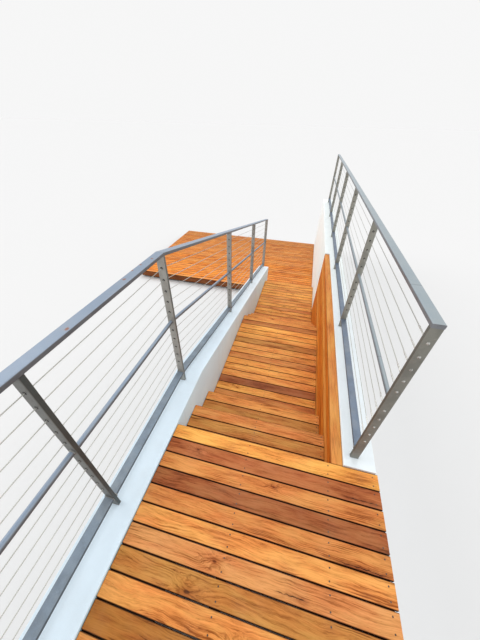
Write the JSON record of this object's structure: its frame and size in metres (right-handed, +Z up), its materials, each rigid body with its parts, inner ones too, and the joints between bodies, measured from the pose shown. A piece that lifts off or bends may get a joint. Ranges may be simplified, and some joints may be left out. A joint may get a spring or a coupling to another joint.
{
  "type": "deck stairs",
  "caption": "Wooden deck stair with single steps and long platforms, going down between a sloping and a level rendered wall with wire balustrades to a lower deck.",
  "frame": {"origin": "middle of the footprint at ground level, on the face that the walls and bearers stand on", "axes": "+Y down the stair from the top landing to the lower deck, +X to the right for a person who walks down it, +Z up"},
  "size_m": [4.4, 9.02, 2.536],
  "materials": {
    "wall_render": "painted render, matt",
    "deck_timber": "oiled hardwood, satin",
    "cladding_timber": "oiled hardwood, satin",
    "frame_timber": "rough sawn, matt",
    "rail_paint": "hammered paint, satin",
    "post_paint": "hammered paint, satin",
    "wire_steel": "satin"
  },
  "bodies": {
    "root": {"left_wall": "wall_render", "right_wall": "wall_render", "landing_boards": "deck_timber", "tread_1": "deck_timber", "tread_2": "deck_timber", "upper_platform": "deck_timber", "tread_3": "deck_timber", "tread_4": "deck_timber", "lower_platform": "deck_timber", "lower_deck": "deck_timber", "upper_risers": "deck_timber", "lower_risers": "deck_timber", "upper_step_joists": "frame_timber", "upper_platform_joists": "frame_timber", "upper_platform_bearer": "frame_timber", "lower_step_joists": "frame_timber", "lower_platform_joists": "frame_timber", "lower_platform_bearer": "frame_timber", "landing_joists": "frame_timber", "landing_bearers": "frame_timber", "deck_joists": "frame_timber", "deck_bearers": "frame_timber", "front_fascia": "deck_timber", "side_fascia": "deck_timber", "cladding_boards": "cladding_timber", "cladding_battens": "frame_timber", "cladding_cap": "cladding_timber", "left_posts": "post_paint", "left_top_rail_level": "rail_paint", "left_top_rail_sloped": "rail_paint", "left_mid_rail_level": "rail_paint", "left_mid_rail_sloped": "rail_paint", "left_bottom_rail_level": "rail_paint", "left_bottom_rail_sloped": "rail_paint", "left_wires_level": "wire_steel", "left_wires_sloped": "wire_steel", "right_posts": "post_paint", "right_top_rail": "rail_paint", "right_mid_rail": "rail_paint", "right_bottom_rail": "rail_paint", "right_wires": "wire_steel"}
  },
  "joints": []
}
